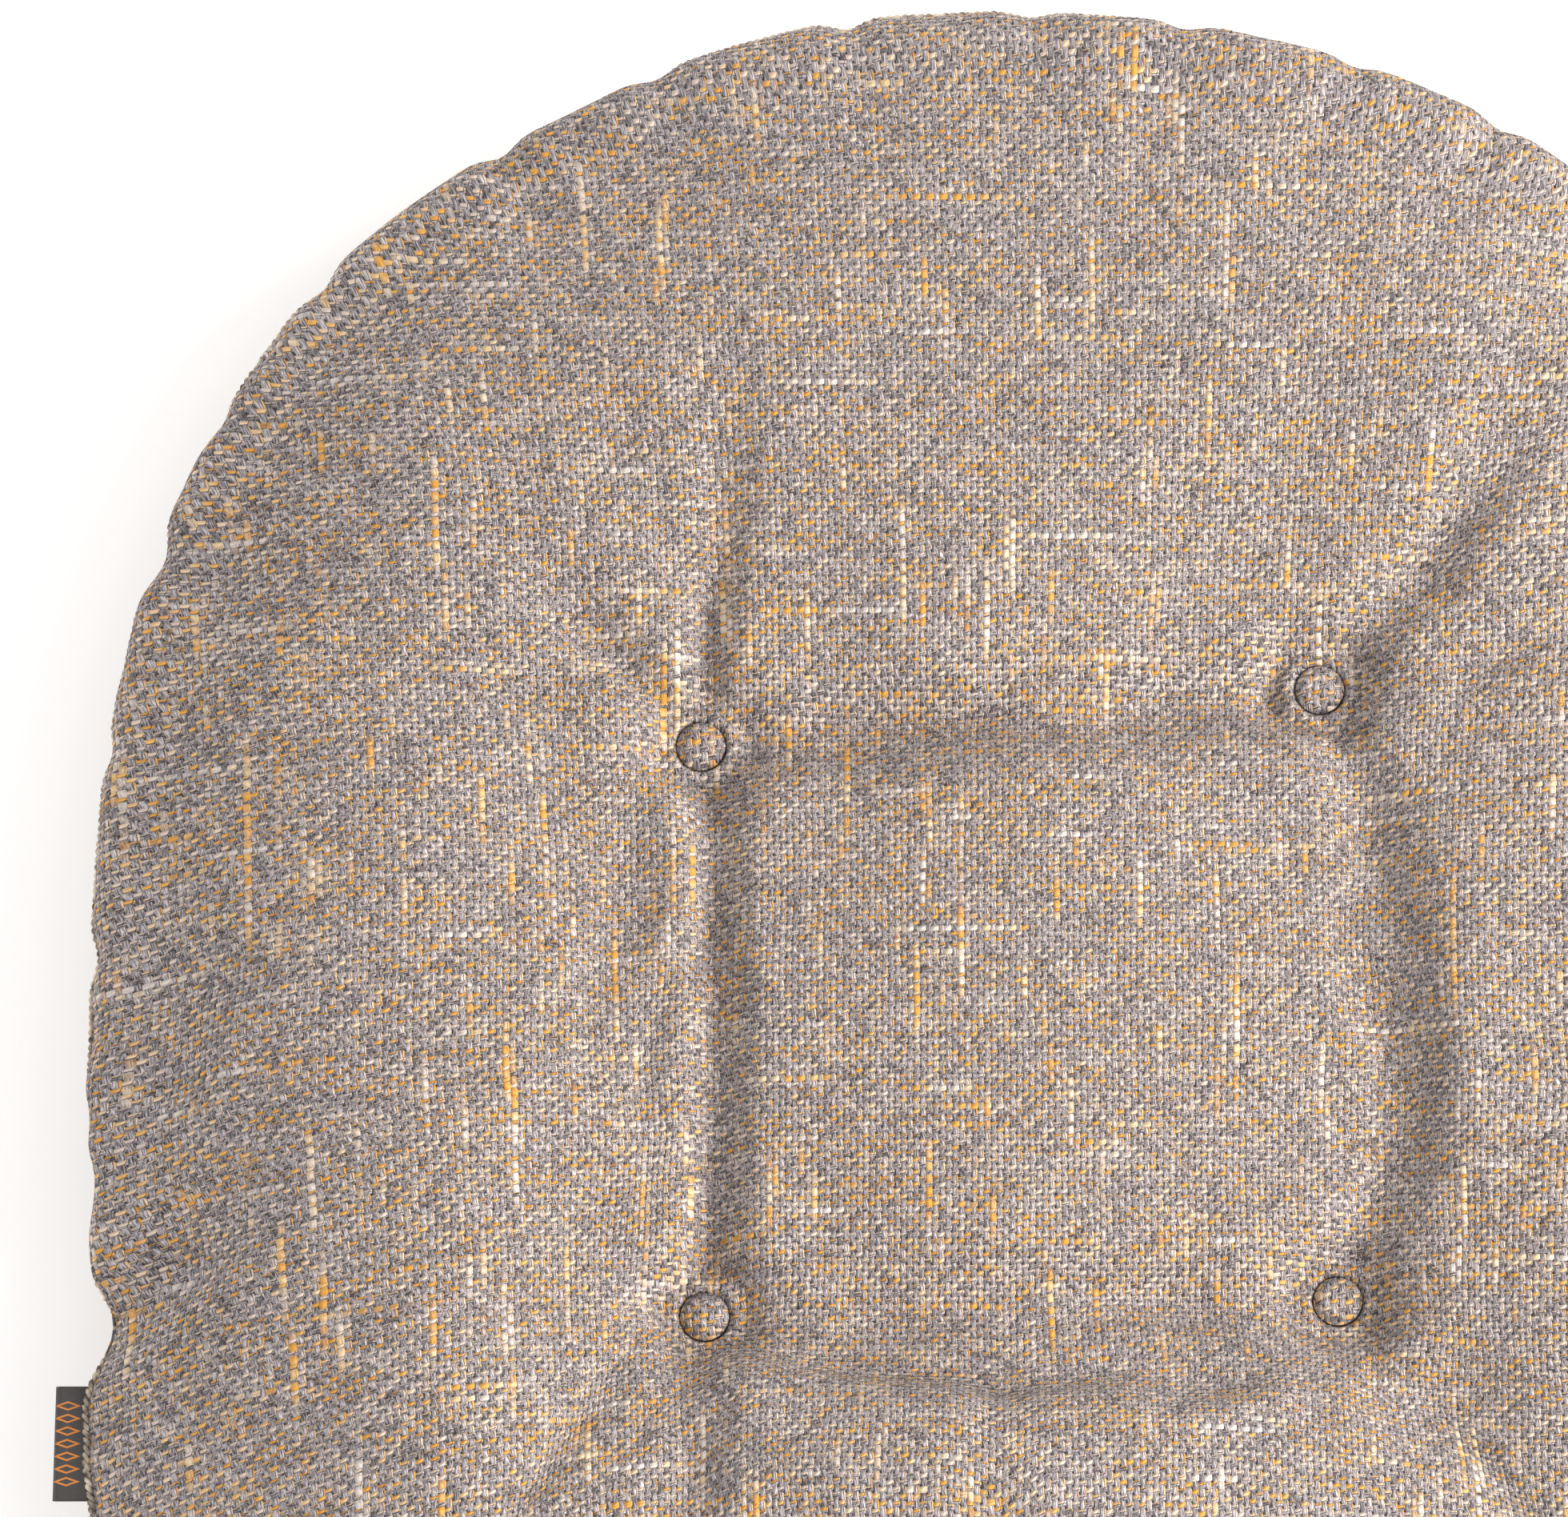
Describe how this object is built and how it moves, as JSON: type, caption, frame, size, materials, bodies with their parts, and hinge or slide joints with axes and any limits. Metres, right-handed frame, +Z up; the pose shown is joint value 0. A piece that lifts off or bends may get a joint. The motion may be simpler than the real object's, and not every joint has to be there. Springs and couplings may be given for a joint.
{
  "type": "chair seat pad",
  "caption": "Plump button-tufted seat pad with a rounded back, sewn from two woven panels over a foam core, with a folded label in its side seam.",
  "frame": {"origin": "middle of the flat underside, halfway across the pad and halfway from front to back", "axes": "+Z up through the pad's thickness, +Y from the squarer front towards the rounded back, +X to the right of someone who faces the back"},
  "size_m": [0.4878, 0.4896, 0.092],
  "materials": {
    "cover_fabric": "plain weave of grey two-ply yarn with cream and ochre slubs, about five threads to the centimetre",
    "sewing_thread": "matt polyester sewing thread",
    "wadding": "soft white polyester wadding",
    "foam": "open-cell cushion foam",
    "button_metal": "stamped, plated sheet steel",
    "twine": "waxed tufting twine",
    "backing_plastic": "moulded, slightly satin",
    "label_tape": "near-black woven satin tape with a fine diagonal rib"
  },
  "bodies": {
    "pad": {"cover_top": "cover_fabric", "cover_bottom": "cover_fabric", "seam_needle_thread": "sewing_thread", "seam_bobbin_thread": "sewing_thread", "wadding_top": "wadding", "wadding_bottom": "wadding", "foam_core": "foam", "button_fabric_back_left": "cover_fabric", "button_cap_back_left": "button_metal", "button_back_back_left": "button_metal", "tufting_twine_back_left": "twine", "backing_button_back_left": "backing_plastic", "twine_knot_back_left": "twine", "button_fabric_back_right": "cover_fabric", "button_cap_back_right": "button_metal", "button_back_back_right": "button_metal", "tufting_twine_back_right": "twine", "backing_button_back_right": "backing_plastic", "twine_knot_back_right": "twine", "button_fabric_front_left": "cover_fabric", "button_cap_front_left": "button_metal", "button_back_front_left": "button_metal", "tufting_twine_front_left": "twine", "backing_button_front_left": "backing_plastic", "twine_knot_front_left": "twine", "button_fabric_front_right": "cover_fabric", "button_cap_front_right": "button_metal", "button_back_front_right": "button_metal", "tufting_twine_front_right": "twine", "backing_button_front_right": "backing_plastic", "twine_knot_front_right": "twine"},
    "label": {"side_label": "label_tape"}
  },
  "joints": [
    {"name": "label_bend", "type": "hinge", "parent": "pad", "child": "label", "pos_m": [-0.2404, -0.131, 0.032], "axis": [0, 1, 0], "range_deg": [-70, 70], "stiffness_Nm_per_rad": 0.0005}
  ]
}
